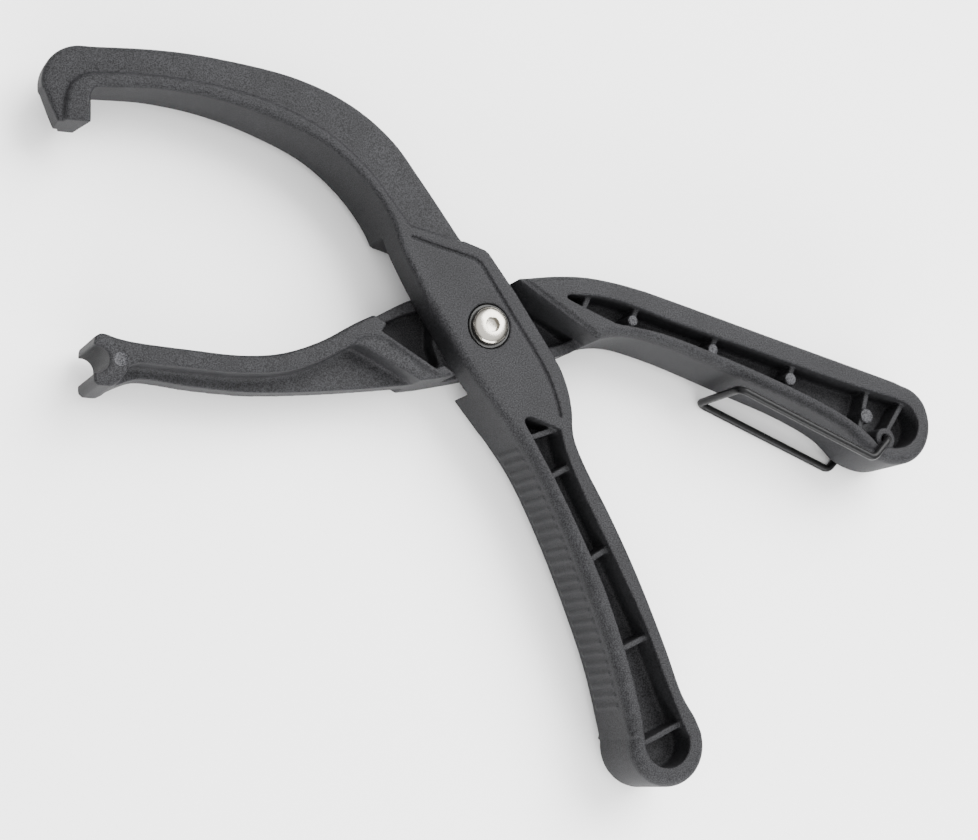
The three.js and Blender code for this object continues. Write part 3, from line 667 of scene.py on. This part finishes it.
def lock_nut():
    """A hexagon with turned corners and the crimped collar that holds the nylon ring."""
    bottom, top = -HALF, -HALF + NUT["height"]
    flats = NUT["across_flats"] / 2
    corner = flats / math.cos(math.pi / 6)
    collar_top = bottom + NUT["collar"]
    piece = post("steel_lock_nut", hexagon(2 * flats), bottom, top)
    turned = lathe("turned", [
        (0, bottom), (flats - 0.9, bottom), (flats - 0.4, bottom + 0.5), (flats - 0.4, collar_top),
        (corner + 0.1, collar_top + 1.2), (corner + 0.1, top - 0.9), (flats - 0.2, top), (0, top),
    ])
    combine(piece, [turned], "INTERSECT")
    ring_top = bottom + NUT_INSERT["inset"] + NUT_INSERT["height"]
    return cut(
        piece,
        lathe("thread_hole", [(0, bottom - 1), (BOLT["radius"] + CLEAR, bottom - 1),
                              (BOLT["radius"] + CLEAR, top + 1), (0, top + 1)]),
        lathe("ring_seat", [(0, bottom - 1), (NUT_INSERT["outer"] + CLEAR, bottom - 1),
                            (NUT_INSERT["outer"] + CLEAR, ring_top + CLEAR), (0, ring_top + CLEAR)]),
    )


def nut_ring():
    bottom = -HALF + NUT_INSERT["inset"]
    top = bottom + NUT_INSERT["height"]
    inner, outer = NUT_INSERT["inner"], NUT_INSERT["outer"]
    edge = 0.4
    return lathe("nylon_nut_ring", [
        (inner + edge, bottom), (outer - edge, bottom), (outer, bottom + edge), (outer, top), (inner, top),
        (inner, bottom + edge),
    ])


# ---------- bail ----------

def bent_wire(corners, bend):
    """Points along straight wire with a round bend at each corner."""
    corners = [Vector(c) for c in corners]
    line = [corners[0]]
    for before, corner, after in zip(corners, corners[1:], corners[2:]):
        into = (corner - before).normalized()
        out = (after - corner).normalized()
        half_turn = into.angle(out) / 2
        reach = min(bend, bend * math.tan(half_turn))
        radius = reach / math.tan(half_turn)
        centre = corner + (out - into).normalized() * (radius / math.cos(half_turn))
        start = corner - into * reach
        axis = into.cross(out).normalized()
        for step in range(13):
            turn = Matrix.Rotation(2 * half_turn * step / 12, 3, axis)
            line.append(centre + turn @ (start - centre))
    line.append(corners[-1])
    return line


def tube(name, line, radius, sides=24):
    """A round bar along a line, with softly rounded ends."""
    ends = [(0.0, 0.45), (0.12, 0.8), (0.35, 1.0)]
    first = [(line[0] + (line[1] - line[0]).normalized() * radius * along, size) for along, size in ends]
    last = [(line[-1] + (line[-2] - line[-1]).normalized() * radius * along, size) for along, size in ends]
    stations = first + [(point, 1.0) for point in line[1:-1]] + last[::-1]
    vertices = []
    across = Vector((1, 0.3, 0))
    for i, (point, size) in enumerate(stations):
        ahead = (stations[min(i + 1, len(stations) - 1)][0] - stations[max(i - 1, 0)][0]).normalized()
        across = (across - ahead * across.dot(ahead)).normalized()
        up = ahead.cross(across)
        for k in range(sides):
            angle = 2 * math.pi * k / sides
            vertices.append(point + (across * math.cos(angle) + up * math.sin(angle)) * radius * size)
    faces = []
    for ring in range(len(stations) - 1):
        for k in range(sides):
            n = (k + 1) % sides
            faces.append((ring * sides + k, ring * sides + n, (ring + 1) * sides + n, (ring + 1) * sides + k))
    faces.append(tuple(reversed(range(sides))))
    faces.append(tuple(range((len(stations) - 1) * sides, len(stations) * sides)))
    return new_piece(name, vertices, faces)


def wire_bail():
    leg = HALF + CLEAR + WIRE_RADIUS
    tip = HALF - BAIL_BOSS["wire_depth"]
    corners = [
        (*BAIL_PIVOT, tip), (*BAIL_PIVOT, leg), (*BAIL_KNEE, leg), (*BAIL_END, leg),
        (*BAIL_END, -leg), (*BAIL_KNEE, -leg), (*BAIL_PIVOT, -leg), (*BAIL_PIVOT, -tip),
    ]
    return tube("black_wire_bail", bent_wire(corners, BAIL_BEND), WIRE_RADIUS)


# ---------- materials ----------

def new_material(name, **values):
    """A principled material and its nodes, with constant values set on the shader's own sockets."""
    material = bpy.data.materials.new(name)
    material.use_nodes = True
    nodes = material.node_tree.nodes
    shader = nodes["Principled BSDF"]
    for socket, value in values.items():
        shader.inputs[socket.replace("_", " ")].default_value = value
    return material, nodes, material.node_tree.links, shader


def noise(nodes, links, scale, detail=2.0, roughness=0.5, stretch=(1, 1, 1)):
    """A noise texture in the object's own metres, so a scale of 1000 is a millimetre."""
    place = nodes.new("ShaderNodeTexCoord")
    mapping = nodes.new("ShaderNodeMapping")
    mapping.inputs["Scale"].default_value = stretch
    texture = nodes.new("ShaderNodeTexNoise")
    texture.inputs["Scale"].default_value = scale
    texture.inputs["Detail"].default_value = detail
    texture.inputs["Roughness"].default_value = roughness
    links.new(place.outputs["Object"], mapping.inputs["Vector"])
    links.new(mapping.outputs["Vector"], texture.inputs["Vector"])
    return texture.outputs["Fac"]


def ramp(nodes, links, source, low, high, start=0.0, end=1.0):
    """Blends from one colour or grey to another as the source rises."""
    blend = nodes.new("ShaderNodeValToRGB")
    blend.color_ramp.elements[0].position = start
    blend.color_ramp.elements[1].position = end
    for element, value in zip(blend.color_ramp.elements, (low, high)):
        element.color = (*value, 1) if isinstance(value, tuple) else (value, value, value, 1)
    links.new(source, blend.inputs["Fac"])
    return blend.outputs["Color"]


def bump(nodes, links, height, strength, distance, under=None):
    node = nodes.new("ShaderNodeBump")
    node.inputs["Strength"].default_value = strength
    node.inputs["Distance"].default_value = distance
    links.new(height, node.inputs["Height"])
    if under is not None:
        links.new(under, node.inputs["Normal"])
    return node.outputs["Normal"]


def glass_filled_nylon(name, paler):
    """Near-black moulded plastic: sparkling grain over faint flow mottling."""
    material, nodes, links, shader = new_material(name, Specular_IOR_Level=0.12)
    grain = noise(nodes, links, 2300, 3, 0.65)
    mottle = noise(nodes, links, 60, 4, 0.6)
    dark = tuple(paler * value for value in (0.003, 0.003, 0.0035))
    light = tuple(paler * value for value in (0.0275, 0.0275, 0.0295))
    grain_colour = ramp(nodes, links, grain, dark, light, 0.39, 0.61)
    mottle_colour = ramp(nodes, links, mottle, 0.88, 1.12, 0.3, 0.7)
    tint = nodes.new("ShaderNodeMix")
    tint.data_type = "RGBA"
    tint.blend_type = "MULTIPLY"
    tint.inputs["Factor"].default_value = 1
    links.new(grain_colour, tint.inputs["A"])
    links.new(mottle_colour, tint.inputs["B"])
    links.new(tint.outputs["Result"], shader.inputs["Base Color"])
    links.new(ramp(nodes, links, grain, 0.5, 0.72, 0.3, 0.7), shader.inputs["Roughness"])
    links.new(bump(nodes, links, grain, 0.6, 0.00014), shader.inputs["Normal"])
    return material


def turned_steel(name, colour, roughness, ring_scale):
    """Bright steel with fine turning rings round the bolt's axis and faint smudges."""
    material, nodes, links, shader = new_material(name, Metallic=1.0, Base_Color=(*colour, 1))
    place = nodes.new("ShaderNodeTexCoord")
    mapping = nodes.new("ShaderNodeMapping")
    mapping.inputs["Location"].default_value = tuple(-PIVOT)
    wave = nodes.new("ShaderNodeTexWave")
    wave.wave_type = "RINGS"
    wave.rings_direction = "Z"
    wave.inputs["Scale"].default_value = ring_scale
    wave.inputs["Distortion"].default_value = 1.5
    wave.inputs["Detail"].default_value = 2
    links.new(place.outputs["Object"], mapping.inputs["Vector"])
    links.new(mapping.outputs["Vector"], wave.inputs["Vector"])
    smudge = noise(nodes, links, 350, 3, 0.6)
    links.new(ramp(nodes, links, smudge, roughness * 0.8, roughness * 1.35, 0.35, 0.7),
              shader.inputs["Roughness"])
    links.new(bump(nodes, links, wave.outputs["Fac"], 0.12, 0.00003), shader.inputs["Normal"])
    return material


def black_oxide():
    material, nodes, links, shader = new_material("black_oxide", Metallic=0.6)
    speck = noise(nodes, links, 1500, 3, 0.6)
    links.new(ramp(nodes, links, speck, (0.006, 0.006, 0.006), (0.016, 0.016, 0.015), 0.35, 0.7),
              shader.inputs["Base Color"])
    links.new(ramp(nodes, links, speck, 0.28, 0.5, 0.3, 0.7), shader.inputs["Roughness"])
    links.new(bump(nodes, links, speck, 0.1, 0.00003), shader.inputs["Normal"])
    return material


def coated_wire():
    """Glossy black coating with a slight orange peel."""
    material, nodes, links, shader = new_material("coated_wire", Specular_IOR_Level=0.12)
    peel = noise(nodes, links, 700, 2, 0.5)
    links.new(ramp(nodes, links, peel, (0.003, 0.003, 0.003), (0.007, 0.007, 0.0075), 0.3, 0.7),
              shader.inputs["Base Color"])
    links.new(ramp(nodes, links, peel, 0.26, 0.4, 0.3, 0.7), shader.inputs["Roughness"])
    links.new(bump(nodes, links, peel, 0.06, 0.00005), shader.inputs["Normal"])
    return material


def nut_nylon():
    material, nodes, links, shader = new_material("nut_nylon", Subsurface_Weight=0.1)
    cloud = noise(nodes, links, 500, 3, 0.6)
    links.new(ramp(nodes, links, cloud, (0.02, 0.07, 0.26), (0.035, 0.11, 0.36), 0.3, 0.7),
              shader.inputs["Base Color"])
    links.new(ramp(nodes, links, cloud, 0.4, 0.6, 0.3, 0.7), shader.inputs["Roughness"])
    links.new(bump(nodes, links, cloud, 0.1, 0.00004), shader.inputs["Normal"])
    return material


# ---------- assembly ----------

def finish_piece(piece, body, node, material, smooth_angle=None):
    """Moves a piece from millimetres round the bolt into the frame, in its CAD node's place."""
    piece.data.transform(Matrix.Translation(PIVOT) @ Matrix.Scale(MM, 4))
    piece.data.materials.clear()
    piece.data.materials.append(material)
    for face in piece.data.polygons:
        face.use_smooth = True
    if smooth_angle is not None:
        piece.data.set_sharp_from_angle(angle=math.radians(smooth_angle))
    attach(piece, body)
    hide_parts(node)


def paint_pad_sheen(lever, material):
    """Gives the round pads and the mark on the jaw a paler copy of the nylon: a painted sheen on these small
    faces, with the same roughness as the rest.
    """
    facing = 0.8               # how squarely a face looks along the bolt's axis
    deepest = 4                # how far below the rim a mark's face may lie
    lever.data.materials.append(material)
    marks = [(JAW_MARK["centre"], JAW_MARK["radius"])]
    marks += [(rib["pad"], rib["pad_radius"]) for rib in FORK_CROSS_RIBS if "pad" in rib]
    for face in lever.data.polygons:
        place = (face.center - PIVOT) / MM
        if abs(face.normal.z) < facing or abs(place.z) < HALF - deepest:
            continue
        if any(math.dist(place[:2], centre) < radius for centre, radius in marks):
            face.material_index = 1


NYLON = glass_filled_nylon("glass_filled_nylon", 1)
finish_piece(hook_lever(), "hook_lever", "hook_lever", NYLON)
FORK_LEVER = fork_lever()
finish_piece(FORK_LEVER, "fork_lever", "fork_lever", NYLON)
# a paler copy of the nylon on the pads and the jaw mark: painted sheen, not a different finish
paint_pad_sheen(FORK_LEVER, glass_filled_nylon("smooth_nylon", 2.2))
finish_piece(bolt(), "fork_lever", "pivot_bolt",
             turned_steel("bright_steel", (0.3, 0.285, 0.255), 0.2, 2600), 30)
finish_piece(washer(), "fork_lever", "head_washer", black_oxide(), 30)
PLATED = turned_steel("plated_steel", (0.6, 0.61, 0.62), 0.32, 1800)
finish_piece(lock_nut(), "fork_lever", "lock_nut", PLATED, 25)
finish_piece(nut_ring(), "fork_lever", "lock_nut_insert", nut_nylon(), 40)
finish_piece(wire_bail(), "wire_bail", "wire_bail", coated_wire())

sleeve = frame["nodes"]["pivot_sleeve"]
sleeve.data.materials.clear()
sleeve.data.materials.append(PLATED)


# ---------- floor, light and camera ----------

def stage_floor():
    size = 2.5
    low = CAD_BOX[0][2]
    corners = [(x * size, y * size, low) for x, y in ((-1, -1), (1, -1), (1, 1), (-1, 1))]
    floor = new_piece("floor", corners, [(0, 1, 2, 3)])
    material, nodes, links, shader = new_material("pale_floor", Roughness=0.6)
    links.new(ramp(nodes, links, noise(nodes, links, 3, 2), (0.9, 0.9, 0.9), (0.94, 0.94, 0.94)),
              shader.inputs["Base Color"])
    floor.data.materials.append(material)


def soft_light(name, place, size, power, target=(0, 0, 0.01)):
    light = bpy.data.lights.new(name, "AREA")
    light.shape = "RECTANGLE"
    light.size, light.size_y = size
    light.energy = power
    lamp = bpy.data.objects.new(name, light)
    lamp.location = place
    lamp.rotation_euler = (Vector(target) - Vector(place)).to_track_quat("-Z", "Y").to_euler()
    bpy.context.scene.collection.objects.link(lamp)


def studio():
    """A room that is dim near the floor and bright overhead, a big soft light and a low strip in front."""
    world = bpy.data.worlds.new("studio")
    world.use_nodes = True
    nodes = world.node_tree.nodes
    links = world.node_tree.links
    direction = nodes.new("ShaderNodeTexCoord")
    height = nodes.new("ShaderNodeSeparateXYZ")
    links.new(direction.outputs["Generated"], height.inputs["Vector"])
    sky = ramp(nodes, links, height.outputs["Z"], 0.1, 1.0, 0.4, 0.8)
    links.new(sky, nodes["Background"].inputs["Color"])
    nodes["Background"].inputs["Strength"].default_value = 3.0
    bpy.context.scene.world = world
    soft_light("overhead", (1.15, 1.25, 2.0), (2.1, 2.1), 190)
    soft_light("front_strip", (0.1, -1.0, 0.35), (1.2, 0.35), 25)


def camera():
    """Looks down at the tool from the jaws' side, tilted off the bolt's axis."""
    tilt = 26.5
    from_pivot = (-290.26, -151.02, 638.6)
    data = bpy.data.cameras.new("camera")
    data.sensor_width = 36
    data.lens = 72.37
    view = bpy.data.objects.new("camera", data)
    tilt_axis = Vector((0.375, -0.927, 0))
    place = PIVOT + Vector(from_pivot) * MM
    view.matrix_world = Matrix.Translation(place) @ Matrix.Rotation(math.radians(tilt), 4, tilt_axis)
    bpy.context.scene.collection.objects.link(view)
    bpy.context.scene.camera = view


stage_floor()
studio()
camera()
